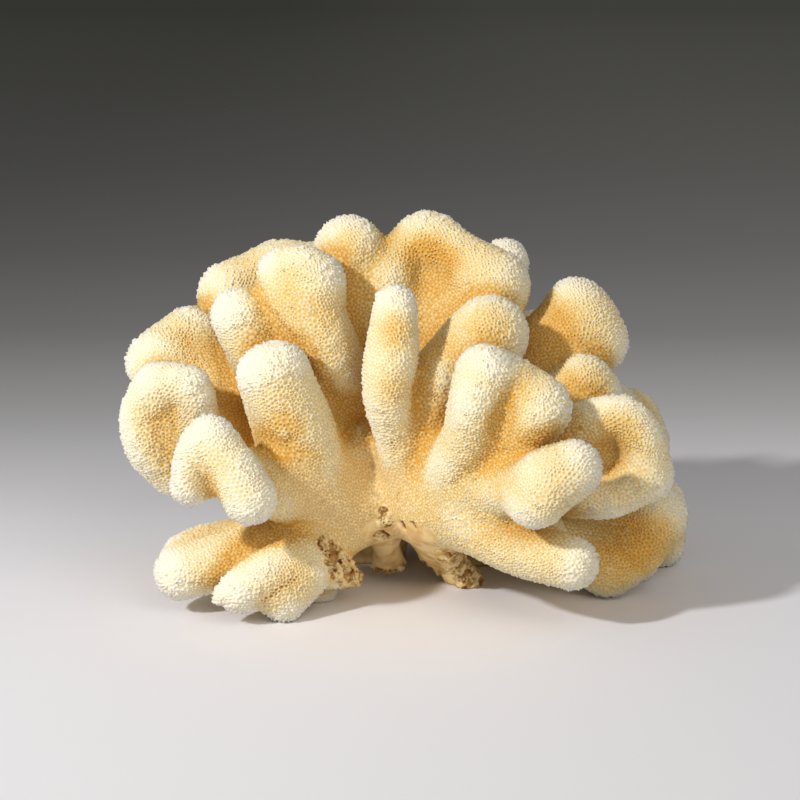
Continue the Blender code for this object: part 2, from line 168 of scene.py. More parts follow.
HOLDFAST = "holdfast"
PAWS = {
    HOLDFAST: [
        [(-6, 4, 36, 12), (12, 8, 42, 16), (22, 2, 42, 14)],
        [(-16, 8, 34, 11), (0, 18, 44, 18), (14, 26, 44, 16)],
        [(-22, -6, 47.4, 9), (-12, -9, 37.2, 8), (-6, -9, 30.4, 5)],
        [(-20, -4, 36, 9), (-12, -1, 26, 4.5)],
        [(-24, -5, 34, 9), (-18, -4, 24, 4.5)],
        [(-5, -7, 35, 7), (-7, 2, 23, 3.5), (-9, 14, 6, 3)],
        [(-4, -6, 35, 7), (-7, 2, 21, 3), (-2.5, 14, 7, 2.5)],
        [(2, -7, 36, 7), (4.5, -6, 27, 4.5), (8, 6, 14, 3)],
        [(5, -8, 35, 9), (8, -7, 25, 5), (11.5, 8, 11.5, 3)],
        [(9, -7, 33, 9), (11, -4, 23, 5), (15, 10, 9, 3)],
        [(10, -10, 27, 5), (14.5, -8, 18, 3.5), (20, 2, 8.5, 3), (24.5, 9, 0, 4)],
        [(10, 9, 28, 9), (16, 13, 12, 5), (19, 14, 0, 5)],
        [(2, 30, 30, 12), (-6, 40, 12, 8), (-8, 42, 0, 8)],
        [(-10, 32, 30, 12), (-19, 40, 12, 6), (-20, 40, 0, 6)],
        [(14, 28, 30, 12), (26, 38, 12, 8), (28, 40, 0, 8)],
    ],
    "holdfast_rubble": [
        [(-24, -10, 28, 7), (-27, -20, 22, 5), (-26, -19, 13, 4.5)],
        [(-25, -18, 15, 4.5), (-21.5, -18, 12.5, 3.5), (-17, -17, 10.5, 2.5)],
    ],
    "left_stem": [
        [(-25, -6, 31, 14), (-34, -17, 49.4, 13), (-40.2, -25, 68.9, 11.5), (-47.2, -31, 85.2, 9)],
        [(-25, -6, 31, 14), (-33, -17, 49.4, 13), (-38.2, -25, 68.9, 11), (-41.2, -29, 86.2, 8.5)],
        [(-33, -11, 26, 13), (-31.5, -8, 3, 7)],
        [(-37.3, -22, 55.2, 8), (-41.2, -31, 55.2, 3)],
    ],
    "lower_left_lobe": [
        [(-40, -10, 22, 12), (-62, -20, 18, 10), (-77, -26, 15, 9)],
        [(-48, -4, 20, 9), (-70, -10, 20, 7), (-77, -14, 18, 6.5)],
    ],
    "front_toes": [
        [(-36, -24, 20, 9), (-48, -34, 16, 8), (-56, -39, 12, 7)],
        [(-35, -26, 14, 8), (-42, -32, 7.5, 7.5)],
    ],
    "left_paw": [
        [(-42, -24, 44, 11), (-54, -38, 52, 9), (-65, -42, 55, 7)],
        [(-51, -52, 48, 8.5), (-57, -52, 59, 7.5), (-64, -50, 67, 6.5)],
        [(-64, -50, 67, 6.5), (-70, -50, 61, 6), (-72, -48, 51, 6)],
    ],
    "left_low_fan": [
        [(-48, 0, 50, 13), (-72, -4, 54, 11), (-84, -10, 60, 8)],
        [(-80, -13, 48, 9), (-89, -19, 58, 7), (-90.5, -21, 71, 6.5), (-84, -22, 79, 6.5)],
        [(-84, -22, 79, 6.5), (-74, -24, 79, 7.5), (-71, -21, 67, 7.5), (-70, -14, 56, 8)],
        [(-66, -6, 56, 12), (-78, -13, 63, 10), (-82, -16, 70, 9)],
    ],
    "left_high_fan": [
        [(-42, 8, 54, 14), (-70, 5, 75, 11.5), (-86, 2, 83, 9.5)],
        [(-50, 14, 66, 13), (-70, 12, 86, 10.5), (-76, 12, 90, 9)],
        [(-86, 2, 83, 9.5), (-83, 6, 88, 7.5), (-76, 12, 90, 9)],
        [(-56, 18, 60, 12), (-76, 22, 76, 10), (-81, 22, 80, 9)],
    ],
    "inner_left_finger": [
        [(-32, -2, 56, 14), (-47.4, -7, 82, 11), (-57.2, -11, 101.6, 9)],
        [(-30, 2, 60, 12), (-39, -3, 82, 8), (-50, -7, 101, 7)],
    ],
    "upper_left_paw": [
        [(-14, 10, 62, 11), (-21, -2, 76, 7.5), (-27, -8, 88, 10), (-38, -10, 106, 10), (-41, -8, 115, 8)],
        [(-14, 10, 66, 11), (-20, 0, 78, 7.5), (-29, -9, 95, 8.5), (-31, -10, 113, 8.5)],
        [(-41, -8, 115, 8), (-35, -10, 117, 7), (-31, -10, 113, 8.5)],
        [(-14, 2, 50, 10), (-15, -10, 57.4, 6)],
    ],
    "upper_left_back_fan": [
        [(-22, 24, 66, 14), (-52, 25, 96, 12), (-62, 24, 103, 10.5)],
        [(-22, 26, 72, 13), (-44, 30, 102, 12), (-46, 30, 109, 11)],
        [(-62, 24, 103, 10.5), (-46, 30, 109, 11), (-33, 30, 111, 10)],
    ],
    "crown_knob": [
        [(-6, 8, 56, 13), (-14, 8, 90, 11), (-20, 10, 109, 11), (-20, 10, 121, 12)],
    ],
    "crown_fan": [
        [(8, 8, 56, 14), (8, 16, 97, 11.5), (8, 18, 118, 10)],
        [(16, 8, 64, 14), (27, 8, 97, 12.5), (30, 8, 108, 12)],
        [(-2, 8, 64, 12), (-5, 9, 98, 10), (-7, 8, 111, 8)],
        [(-7, 8, 111, 8), (0, 12, 121, 7.5), (7, 15, 124, 10), (16, 11, 121, 8.5), (30, 8, 109, 11)],
        [(8, 12, 84, 11), (9, 17, 108, 9.5)],
        [(12, 8, 60, 13), (20, 12, 96, 11), (23, 11, 110, 9.5)],
    ],
    "crown_back_knob": [
        [(24, 32, 74, 12), (30, 38, 94, 10), (36, 41, 112, 8.5)],
    ],
    "centre_finger": [
        [(4, -6, 38, 12), (-3, -21, 61.4, 7.5), (-6, -28, 78, 8), (-5, -29, 90.6, 8.9),
         (-3.7, -27, 107.6, 6.9)],
    ],
    "centre_lobe": [
        [(12, -2, 52, 13), (20, -10, 76, 12), (28, -15, 95.5, 11.5)],
        [(6, -6, 50, 10), (8, -18, 70, 8), (11, -20, 82, 8)],
        [(6, -8, 46, 11), (4, -16, 60, 9.5)],
        [(12, -14, 84, 8), (20, -14, 93, 9), (28, -15, 95.5, 11.5)],
    ],
    "right_high_lobe": [
        [(34, 12, 54, 14), (54, 14, 84, 13), (60, 16, 100, 10.5)],
        [(54, 14, 84, 13), (68, 12, 88, 10)],
        [(54, 14, 84, 13), (64, 14, 94, 10)],
    ],
    "right_mid_lobe": [
        [(38, -2, 52, 12), (54, -5, 69, 10), (61, -6, 78, 9)],
        [(54, -5, 69, 10), (66, -6, 72, 8.5)],
    ],
    "right_front_paw": [
        [(12, -13, 40, 13), (21, -38, 64, 9.5), (23, -46, 80, 8.5), (26, -45, 88, 8)],
        [(24, -22, 46, 12), (39, -41, 67, 9), (43.5, -45, 77, 8.8)],
        [(26, -45, 88, 8), (36, -43, 86, 7), (43.5, -45, 77, 8.8)],
        [(24, -22, 46, 12), (32, -31, 70, 8)],
        [(12, -13, 40, 13), (24, -24, 42, 13), (34, -34, 44, 10)],
        [(12, -10, 42, 11), (6, -13, 43.5, 8.5)],
    ],
    "right_thumb": [
        [(28, -30, 48, 11), (42, -54, 52, 9), (46, -60, 55, 9)],
        [(42, -60, 49, 8.5), (46, -60, 56, 9), (54, -61, 60, 9)],
    ],
    "right_fan": [
        [(40, -8, 48, 13), (66, -17, 56, 8.5)],
        [(50, -22, 60, 9), (62, -31, 69, 7.5), (72, -33, 71, 7), (79, -33, 63, 7.5), (81, -32, 51, 7.5)],
        [(81, -32, 51, 7.5), (70, -32, 44, 7.5), (58, -26, 44, 9)],
        [(56, -17, 54, 10), (71, -22, 57, 8)],
        [(54, -14, 58, 11), (68, -20, 60, 8.5)],
    ],
    "right_low_fan": [
        [(38, 0, 34, 14), (70, 4, 27, 10.5), (88, -4, 30, 9)],
        [(50, 0, 24, 12), (71, -5, 12, 9.5)],
        [(88, -4, 29, 9), (82, -5, 17, 9), (71, -5, 12, 9.5)],
    ],
    "long_finger": [
        [(10, -10, 36, 14), (25, -28, 33, 11), (42, -43, 27, 9), (55, -49, 25, 8.3)],
        [(25, -24, 36, 10), (46, -34, 30, 8)],
    ],
    "back_right_lobe": [
        [(48, 34, 42, 14), (74, 50, 50, 12), (84, 58, 50, 11.5)],
        [(60, 40, 42, 12), (88, 52, 42, 10.5)],
        [(52, 38, 48, 12), (76, 48, 56, 9)],
    ],
    "back_right_foot": [
        [(38, 16, 34, 14), (70, 27, 27, 12), (94, 34, 24, 9), (95, 34, 8, 8)],
        [(62, 22, 22, 12), (84, 17, 6, 7)],
        [(72, 26, 24, 12), (88, 26, 14, 8)],
    ],
    "back_crown_paw": [
        [(4, 34, 56, 14), (0, 46, 88, 12), (-4, 50, 100, 10.5)],
        [(8, 36, 60, 13), (16, 50, 88, 11), (19, 54, 100, 10)],
        [(-4, 50, 100, 10.5), (8, 50, 97, 8), (19, 54, 100, 10)],
        [(6, 38, 66, 13), (8, 49, 90, 11)],
    ],
    "back_left_high_paw": [
        [(-20, 32, 52, 14), (-46, 48, 80, 12), (-55, 53, 87, 10)],
        [(-24, 34, 56, 12), (-32, 56, 84, 11), (-34, 60, 92, 9.5)],
        [(-55, 53, 87, 10), (-45, 54, 87, 8), (-34, 60, 92, 9.5)],
        [(-22, 34, 58, 13), (-42, 52, 80, 11)],
    ],
    "back_left_mid_paw": [
        [(-26, 22, 42, 14), (-66, 34, 50, 12), (-80, 38, 56, 10)],
        [(-44, 28, 42, 12), (-70, 46, 42, 11), (-74, 54, 40, 9.5)],
        [(-80, 38, 56, 10), (-76, 44, 48, 8.5), (-74, 54, 40, 9.5)],
        [(-50, 26, 54, 12), (-72, 34, 68, 10), (-78, 34, 74, 8.5)],
    ],
    "back_left_foot": [
        [(-16, 26, 32, 13), (-34, 44, 18, 11), (-42, 54, 9, 10)],
        [(-26, 36, 22, 10), (-22, 58, 10, 9.5)],
        [(-42, 54, 9, 10), (-32, 54, 12, 8), (-22, 58, 10, 9.5)],
    ],
    "back_middle_paw": [
        [(-2, 36, 48, 14), (-12, 60, 62, 12), (-16, 68, 72, 10)],
        [(2, 40, 48, 12), (8, 64, 54, 11), (11, 70, 62, 9.5)],
        [(-16, 68, 72, 10), (-4, 66, 66, 8), (11, 70, 62, 9.5)],
        [(-2, 44, 50, 13), (-3, 62, 60, 11)],
    ],
    "back_left_low_paw": [
        [(-18, 34, 42, 13), (-40, 60, 44, 11), (-44, 66, 52, 10)],
        [(-20, 36, 38, 12), (-46, 62, 32, 10), (-52, 64, 28, 9)],
        [(-44, 66, 52, 10), (-46, 64, 40, 8.5), (-52, 64, 28, 9)],
    ],
    "back_low_paw": [
        [(4, 34, 32, 14), (-6, 62, 28, 12), (-10, 70, 33, 10)],
        [(8, 38, 30, 12), (16, 64, 18, 11), (18, 68, 9, 9.5)],
        [(-10, 70, 33, 10), (6, 68, 24, 8), (18, 68, 9, 9.5)],
        [(6, 38, 30, 12), (4, 64, 24, 11)],
    ],
    "back_right_high_paw": [
        [(24, 30, 52, 14), (42, 48, 72, 12), (48, 53, 80, 10.5)],
        [(30, 34, 50, 12), (58, 58, 64, 11), (64, 60, 68, 9.5)],
        [(48, 53, 80, 10.5), (54, 56, 74, 9), (64, 60, 68, 9.5)],
        [(30, 34, 52, 13), (50, 54, 66, 11)],
    ],
    "back_right_low_paw": [
        [(30, 28, 38, 14), (42, 58, 42, 12), (44, 70, 48, 10)],
        [(36, 34, 32, 12), (58, 58, 22, 11), (64, 62, 10, 10)],
        [(44, 70, 48, 10), (54, 66, 32, 9), (64, 62, 10, 10)],
        [(34, 36, 36, 13), (50, 60, 32, 11)],
    ],
}
# balls of skin on the lobes that are too small for the solids
WARTS = [
    (-41.0, -35.9, 66.9, 1.9),
    (-43.3, -35.9, 68.6, 1.2),
    (-62.0, -41.0, 11.5, 2.6),
    (-63.6, -42.4, 10.2, 1.5),
]
# balls that hold the skin without cups
BARE = [
    (-12, -15, 27, 4),
    (-10.5, -13, 23, 3.5),
    (0, -18, 29, 3.5),
    (4, -22, 27, 5),
    (7, -25, 28, 3.5),
    (6, -14, 22, 7),
    (9, -8, 16, 8),
    (12, 0, 12, 8),
    (14, 8, 6, 9),
    (24, 8, 2, 8),
    (12, -19, 21, 5),
    (-7, -14, 28, 3),
    (-6, -2, 18, 7),
    (-5, 8, 11, 9),
    (-31, -9, 1, 5),
    (-18, 40, 6, 13),
    (-6, 42, 6, 13),
    (28, 40, 4, 13),
    (19, 14, 2, 8),
    (6, 26, 14, 16),
]
# balls that hold broken, crumbly skeleton
BROKEN = [
    (12, -13, 22, 3.5),
    (15, -9, 17.5, 4.5),
    (19, -1, 10, 5),
    (23.5, 5, 4, 6.5),
    (-28, -26, 25, 3.5),
    (-25.5, -26, 20, 5),
    (-23, -24, 16, 5),
    (-20, -21, 13, 5),
    (-16.5, -17, 10.5, 5),
    (-7.6, -16.8, 34, 2.2),
    (-7.6, -15, 30, 2.8),
    (-8, -10, 24, 3.5),
    (-8, 13, 4, 3.5),
    (-1, 13, 5, 3.5),
    (8, 6, 11, 3),
    (13, 8, 7, 3),
]
# grooves in which two lobes have grown against each other, sunk and painted dark as shade
SEAMS = [
    [(-48.5, -42.5, 9.0, 0.5), (-42.4, -40.6, 13.5, 0.5), (-37.0, -37.4, 16.2, 0.3)],
    [(-48.6, -16.6, 108.0, 0.4), (-38.2, -19.0, 95.7, 0.5), (-29.3, -16.3, 80.2, 0.4)],
    [(-4.5, -29.6, 62.3, 0.2), (-3.8, -25.5, 50.0, 0.3), (-2.9, -21.1, 39.2, 0.2)],
]
# dark red spots in the broken parts
SPECKS = [
    (-7.8, -17.8, 35.8, 0.8),
    (-6.4, -17.4, 35.2, 0.4),
    (-7.6, -15.8, 30.5, 0.4),
    (-28.0, -27.4, 22.8, 0.9),
    (-26.4, -27.2, 21.2, 0.7),
    (-22.8, -24.8, 18.4, 1.0),
    (-21.3, -24.0, 17.4, 0.5),
    (-18.5, -20.8, 14.0, 0.8),
    (-24.5, -26.5, 15.5, 0.5),
]
# holes in the bare parts, sunk and painted dark brown inside as shade
HOLES = [
    (-1.2, -19.0, 30.4, 1.0),
    (-0.7, -18.6, 28.6, 1.1),
    (2.3, -22.8, 31.3, 0.8),
    (3.0, -22.9, 29.8, 0.8),
    (-5.6, -1.5, 17.0, 0.7),
    (-3.6, 3.8, 13.4, 0.6),
]
# balls in which the skin is more golden than its shape says: painted shade where shadow falls, and in the
# hollows partly their own golden colour
GOLDEN_AND_PAINTED_SHADE = [
    (8.6, 5.1, 118, 10),
    (28, -27, 101, 8),
    (50, 2, 94, 10),
    (61, -15, 80, 9),
    (-55, -29, 22, 9),
    (-50, -26, 25, 7),
    (-41, -36, 68, 6),
    (85, -14, 21, 12),
    (71, -16, 13, 10),
    (65, -35, 64, 7),
    (71, -40, 68, 8),
    (30, -49, 74, 5),
    (-18, -13, 62, 12),
    (-19, -1, 126, 5),
    (-5, -33, 82, 6),
    (-4, -33, 100, 6),
    (-36, -33, 56, 7),
]
# balls in which it is paler: painted light where the skin is strongly lit
PAINTED_LIGHT_BALLS = [
    (25, -44, 45, 9),
    (18, -38, 38, 8),
    (11, -39, 54, 8),
    (21, -54, 81, 7),
    (31, -52, 93, 6),
]
# balls in which the cups are low, like fur; there the skin also takes the stems' darker colours, which
# paint shade
FURRY = [
    (-35, -35, 50, 9),
    (-30, -31, 40, 11),
    (-24, -26, 31, 9),
    (-18, -20, 46, 12),
    (-6, -22, 44, 7),
]

# the stage, in metres: the floor's greys by Y and how cool they are, which paint the lights' falloff into
# the floor, how it is painted lighter to the right as painted side light, the lights (name, place, size,
# power, colour) and the camera
FLOOR_NEAR, FLOOR_FAR = -0.3, 6.0
FLOOR_PAINTED_FALLOFF = [
    (-0.25, 0.78, 2.0),
    (-0.10, 0.85, 3.0),
    (0.00, 0.88, 3.5),
    (0.085, 0.85, 2.5),
    (0.147, 0.75, 2.0),
    (0.22, 0.65, 2.0),
    (0.305, 0.51, 1.0),
    (0.52, 0.31, 0.5),
    (0.85, 0.235, 0.0),
    (1.40, 0.195, -2.5),
    (2.50, 0.165, -5.0),
    (5.73, 0.115, -8.0),
]
FLOOR_GREEN, FLOOR_BLUE, FLOOR_COOLER = 0.99, 0.98, 0.02
FLOOR_SIZE = 12.0
PAINTED_SIDE_LIGHT_REACH = 0.45
PAINTED_SIDE_LIGHT_SHARE = 0.23
PAINTED_SIDE_LIGHT_DEPTH = 0.25
WORLD_STRENGTH = 0.27
LIGHT_AIM = (0.0, 0.0, 0.05)
LIGHTS = [
    ("key", (-0.78, -0.80, 0.75), 0.08, 12.4, (1.0, 0.992, 0.975)),
    ("fill", (0.5, -1.15, 0.85), 0.9, 5.2, (1.0, 0.95, 0.86)),
]
CAMERA_LENS, CAMERA_SENSOR = 100.0, 36.0
CAMERA_AIM = np.array((-2.0, 0.0, 70.0))
CAMERA_TILT = 12.0
CAMERA_DISTANCE = 0.778


def reach(fingers, margin):
    """The lowest and the highest corner of a box that clears these fingers by the margin."""
    balls = np.array([ball for finger in fingers for ball in finger])
    centres, radii = balls[:, :3], balls[:, 3:]
    return (centres - radii).min(axis=0) - margin, (centres + radii).max(axis=0) + margin


def grid_axes():
    """The X, Y and Z values of the grid that holds the whole colony."""
    low, high = reach([finger for paw in PAWS.values() for finger in paw], GRID_MARGIN)
    low[2] = -GRID_MARGIN
    return [np.arange(start, stop, GRID_STEP, dtype=np.float32) for start, stop in zip(low, high)]


def points_of(axes):
    return np.stack(np.meshgrid(*axes, indexing="ij"), axis=-1)


def smooth_union(first, second, fillet):
    share = np.clip(0.5 + 0.5 * (second - first) / fillet, 0.0, 1.0)
    return second + (first - second) * share - fillet * share * (1.0 - share)


def rounded(finger):
    """The finger's balls with more between them, on a smooth curve through its own."""
    balls = np.array(finger, np.float32)
    steps = np.diff(balls, axis=0)
    spans = np.sqrt(np.linalg.norm(steps[:, :3], axis=1))[:, None]
    speeds = steps / spans
    inner = (speeds[:-1] * spans[1:] + speeds[1:] * spans[:-1]) / (spans[:-1] + spans[1:])
    speeds = np.concatenate([speeds[:1], inner, speeds[-1:]])
    share = np.arange(BALLS_PER_LINK, dtype=np.float32)[:, None, None] / BALLS_PER_LINK
    eased = share * share * (3.0 - 2.0 * share)
    curve = balls[:-1] + eased * steps
    curve = curve + share * (1.0 - share) ** 2 * spans * speeds[:-1]
    curve = curve - share * share * (1.0 - share) * spans * speeds[1:]
    return np.concatenate([curve.transpose(1, 0, 2).reshape(-1, 4), balls[-1:]])


def link_distance(points, start, end):
    """Distance to the hull of two balls, negative inside."""
    along = (end - start)[:3]
    length = np.linalg.norm(along)
    widening = (end[3] - start[3]) / length
    taper = np.clip(widening, -STEEPEST_TAPER, STEEPEST_TAPER)
    offset = points - start[:3]
    height = offset @ (along / length)
    aside = np.sqrt(np.maximum(np.einsum("...i,...i", offset, offset) - height * height, 0.0))
    spot = np.clip(height + aside * taper / np.sqrt(1.0 - taper * taper), 0.0, length)
    return np.hypot(aside, height - spot) - (start[3] + widening * spot)


def finger_distance(points, finger):
    """Distance to a chain of balls, negative inside."""
    balls = rounded(finger)
    nearest = link_distance(points, balls[0], balls[1])
    for start, end in zip(balls[1:], balls[2:]):
        nearest = np.minimum(nearest, link_distance(points, start, end))
    return nearest


def paw_distance(points, fingers):
    distance = finger_distance(points, fingers[0])
    for finger in fingers[1:]:
        distance = smooth_union(distance, finger_distance(points, finger), PAW_FILLET)
    return distance


def paw_field(axes, fingers):
    """A paw's distance at the grid points near it, and FAR at the rest."""
    low, high = reach(fingers, FAR)
    window = tuple(slice(*np.searchsorted(axis, ends)) for axis, *ends in zip(axes, low, high))
    field = np.full([len(axis) for axis in axes], FAR, np.float32)
    near = points_of([axis[part] for axis, part in zip(axes, window)])
    field[window] = np.minimum(paw_distance(near, fingers), FAR)
    return field


def lumps(points):
    waves = [np.sin(points[..., axis] / length + axis) for axis, length in enumerate(LUMP_LENGTHS)]
    return LUMP_HEIGHT * waves[0] * waves[1] * waves[2]


def balls_distance(points, balls):
    """Distance to the nearest of some balls, negative inside."""
    nearest = None
    for *centre, radius in balls:
        distance = np.linalg.norm(points - np.array(centre, np.float32), axis=-1) - radius
        nearest = distance if nearest is None else np.minimum(nearest, distance)
    return nearest


def colony_field(axes, distances):
    """All paws melted together and cut off flat on the ground."""
    colony = distances[0]
    for distance in distances[1:]:
        colony = smooth_union(colony, distance, FORK_FILLET)
    points = points_of(axes)
    colony = smooth_union(colony - lumps(points), balls_distance(points, WARTS), WART_FILLET)
    return np.maximum(colony, -points[..., 2])


def read(field, low, points):
    """The field between its grid points."""
    place = np.clip((points - low) / GRID_STEP, 0, np.array(field.shape) - 1.001)
    cell = place.astype(np.int32)
    share = place - cell
    total = 0.0
    for corner in np.ndindex(2, 2, 2):
        weight = np.prod(np.where(corner, share, 1.0 - share), axis=-1)
        total = total + weight * field[tuple((cell + corner).T)]
    return total


def slope(field, low, points):
    """How the field rises at these points, along X, Y and Z."""
    offsets = np.eye(3) * SLOPE_STEP
    pairs = [read(field, low, points + offset) - read(field, low, points - offset) for offset in offsets]
    return np.stack(pairs, axis=-1) / (2.0 * SLOPE_STEP)


def unit(vectors):
    return vectors / np.maximum(np.linalg.norm(vectors, axis=-1, keepdims=True), 1e-9)


def dot(first, second):
    return np.einsum("ij,ij->i", first, second)


def step_between(low, high, values):
    """0 up to the low value and 1 from the high one, with a smooth step between them."""
    share = np.clip((values - low) / (high - low), 0.0, 1.0)
    return share * share * (3.0 - 2.0 * share)


def inside(points, balls, fade):
    """1 inside some balls and 0 outside, with a soft edge."""
    return 1.0 - step_between(-fade, fade, balls_distance(points, balls))


class Net:
    """A closed net of triangles. Half-edge 3f+k runs from corner k of face f to the next."""

    def __init__(self, points, faces):
        self.points, self.faces = points, faces
        self.link()

    def link(self):
        count = len(self.points)
        half = np.arange(self.faces.size)
        self.after = half - half % 3 + (half + 1) % 3
        self.before = half - half % 3 + (half + 2) % 3
        self.start = self.faces.ravel()
        self.end = self.start[self.after]
        keys = self.start.astype(np.int64) * count + self.end
        order = np.argsort(keys)
        self.sorted_keys = keys[order]
        turned = self.end.astype(np.int64) * count + self.start
        self.twin = order[np.searchsorted(self.sorted_keys, turned)]
        self.degree = np.bincount(self.start, minlength=count)

    def neighbour_mean(self, values):
        sums = [np.bincount(self.start, values[self.end, axis], len(self.points)) for axis in range(3)]
        return np.stack(sums, axis=-1) / self.degree[:, None]

    def normals(self, faces):
        first, second, third = (self.points[faces[:, k]] for k in range(3))
        return unit(np.cross(second - first, third - first))

    def cotangents(self, apex):
        one, two = self.points[self.start] - self.points[apex], self.points[self.end] - self.points[apex]
        return dot(one, two) / np.maximum(np.linalg.norm(np.cross(one, two), axis=-1), 1e-9)

    def flip(self):
        """Turns each edge whose two triangles would be rounder with the other diagonal."""
        mine, theirs = self.start[self.before], self.start[self.before[self.twin]]
        score = -(self.cotangents(mine) + self.cotangents(theirs))
        new = mine.astype(np.int64) * len(self.points) + theirs
        spot = np.minimum(np.searchsorted(self.sorted_keys, new), len(new) - 1)
        fine = (score > LEAST_GAIN) & (self.sorted_keys[spot] != new) & (mine != theirs)
        fine &= np.minimum(self.degree[self.start], self.degree[self.end]) > FEWEST_EDGES
        fine &= np.maximum(self.degree[mine], self.degree[theirs]) < MOST_EDGES
        first = np.stack([mine, self.start, theirs], axis=-1)
        second = np.stack([theirs, self.end, mine], axis=-1)
        normals = self.normals(self.faces)
        half = np.arange(len(score))
        old = unit(normals[half // 3] + normals[self.twin // 3])
        fine &= np.minimum(dot(self.normals(first), old), dot(self.normals(second), old)) > SHARPEST_FOLD
        score = np.where(fine, score, -1.0)
        score = np.maximum(score, score[self.twin])
        best = score.reshape(-1, 3).argmax(axis=1) + 3 * np.arange(len(self.faces))
        top = np.zeros(len(score), bool)
        top[best] = True
        chosen = np.flatnonzero(fine & fine[self.twin] & top & top[self.twin] & (half < self.twin))
        faces = self.faces.copy()
        faces[chosen // 3] = first[chosen]
        faces[self.twin[chosen] // 3] = second[chosen]
        self.faces = faces
        self.link()


def cup_net(colony, low):
    """The colony's skin as an even, irregular net, with one corner for each cup."""
    grid = openvdb.FloatGrid(background=GRID_MARGIN)
    grid.copyFromArray(np.ascontiguousarray(colony, dtype=np.float32))
    corners, quads = grid.convertToQuads(isovalue=0.0)
    points = corners.astype(np.float64) * GRID_STEP + low
    faces = np.concatenate([quads[:, [0, 1, 2]], quads[:, [0, 2, 3]]]).astype(np.int64)
    net = Net(points, faces)
    ground = points[:, 2] < GROUND_HEIGHT
    chance = np.random.default_rng(SEED)
    for turn in range(RELAX_TURNS):
        way = unit(slope(colony, low, net.points))
        if turn == 0:
            move = chance.normal(0.0, SCATTER, points.shape)
        else:
            move = RELAXING * (net.neighbour_mean(net.points) - net.points)
        move -= way * dot(move, way)[:, None]
        move[ground] = 0.0
        net.points = net.points + move
        height = read(colony, low, net.points)[:, None]
        fit = slope(colony, low, net.points)
        fit = fit / np.maximum(dot(fit, fit), FLATTEST_SLOPE)[:, None] * height
        fit[ground] = 0.0
        net.points = net.points - np.clip(fit, -1.0, 1.0)
        for _ in range(FIRST_FLIPS if turn < FIRST_TURNS else 1):
            net.flip()
    return net, ground


def growth(points, labels):
    """The way from root to tip of the finger that each point lies on."""
    ways = np.zeros_like(points)
    for number, fingers in enumerate(PAWS.values()):
        mine = np.flatnonzero(labels == number)
        nearest = np.full(len(mine), np.inf)
        for finger in fingers:
            for start, end in zip(*[np.array(balls, float) for balls in (finger[:-1], finger[1:])]):
                distance = link_distance(points[mine], start, end)
                closer = distance < nearest
                nearest[closer] = distance[closer]
                ways[mine[closer]] = unit((end - start)[:3])
    return ways


def crumble(points, chance):
    """Heights of broken skeleton: sharp little ridges of three sizes, and grit."""
    height = chance.normal(0.0, GRIT_HEIGHT, len(points))
    for length, size in CRUMB_SIZES:
        ways = unit(chance.normal(size=(3, 3)))
        waves = np.abs(np.sin(points @ ways.T * (math.pi / length) + chance.uniform(0.0, 6.0, 3)))
        height += size * (1.0 - waves.prod(axis=1) ** 0.5 * 2.0)
    return height


def bulge(colony, low, points, spread):
    """How strongly the surface bulges, as seen from this far around."""
    here = read(colony, low, points)
    sides = [sign * spread * side for side in np.eye(3) for sign in (-1, 1)]
    around = sum(read(colony, low, points + side) for side in sides)
    return (around - len(sides) * here) / spread ** 2


def open_share(colony, low, points, normals):
    """1 where the surface lies open and less where something stands in front of it."""
    reached = [read(colony, low, points + normals * way) / way for way in OPEN_REACHES]
    return sum(np.clip(share, 0.0, 1.0) for share in reached) / len(OPEN_REACHES)


def seam_share(points):
    """1 in the middle of a groove and 0 beside it."""
    lines = [finger_distance(points, line) for line in SEAMS]
    return 1.0 - step_between(0.0, SEAM_WIDTH, np.min(lines, axis=0))


def bare_share(points):
    """1 where the skin has no cups and 0 where it has them."""
    return np.maximum(inside(points, BARE, BARE_FADE), inside(points, BROKEN, BROKEN_FADE))


def teeth(net, corners, toward):
    """1 at the corners that lie furthest and second furthest along a cup's way to the tip."""
    rays = unit(corners[np.arange(net.faces.size) // 3] - net.points[net.start])
    order = np.lexsort((dot(rays, toward[net.start]), net.start))
    last = np.cumsum(np.bincount(net.start, minlength=len(net.points))) - 1
    first, second = np.zeros(len(net.faces)), np.zeros(len(net.faces))
    first[order[last] // 3] = 1.0
    second[order[last - 1] // 3] = 1.0
    return first, second * (1.0 - first)


def fans(net, ringed):
    """The skin's triangles and the cup of each. Corners are numbered pits first, then rims, then mouths."""
    start, half = net.start, np.arange(net.faces.size)
    rims = len(net.points)
    mouths = rims + len(net.faces)
    right, left = rims + net.twin // 3, rims + half // 3
    ring_left = mouths + half
    ring_right = mouths + net.after[net.twin]
    plain = ~ringed[start]
    rings = ringed[start]
    triangles = np.concatenate([
        np.stack([start, right, left], axis=-1)[plain],
        np.stack([start, ring_right, ring_left], axis=-1)[rings],
        np.stack([ring_right, right, left], axis=-1)[rings],
        np.stack([ring_right, left, ring_left], axis=-1)[rings],
    ])
    return triangles, np.concatenate([start[plain], start[rings], start[rings], start[rings]])


